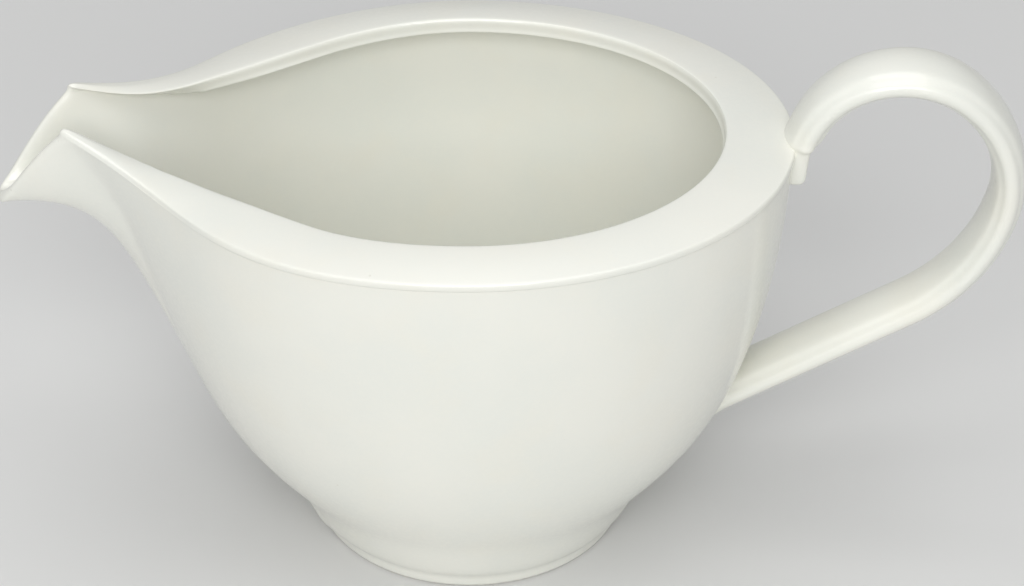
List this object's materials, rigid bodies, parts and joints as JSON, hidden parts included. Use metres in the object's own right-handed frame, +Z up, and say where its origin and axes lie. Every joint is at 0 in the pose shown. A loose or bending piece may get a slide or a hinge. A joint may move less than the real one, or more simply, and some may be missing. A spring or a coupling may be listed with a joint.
{
  "type": "gravy boat",
  "caption": "Oval china gravy boat with an in-turned rim, a drawn-up pouring spout, a round foot and a looped strap handle.",
  "frame": {"origin": "centre of the foot's resting face, on the table", "axes": "+Z up, +X towards the handle, -X towards the spout; the X-Z plane is the plane of symmetry"},
  "size_m": [0.2018, 0.1026, 0.1058],
  "materials": {
    "body_glaze": "soft gloss, ivory glaze",
    "rim_glaze": "soft gloss, ivory glaze",
    "foot_china": "glazed side, bare resting face",
    "handle_glaze": "soft gloss, ivory glaze",
    "joint_slip": "soft gloss, ivory glaze pooled at the joint"
  },
  "bodies": {
    "root": {"bowl": "body_glaze", "rim_flange": "rim_glaze", "spout": "body_glaze", "foot_ring": "foot_china", "handle": "handle_glaze", "upper_joint": "joint_slip", "lower_joint": "joint_slip"}
  },
  "joints": []
}
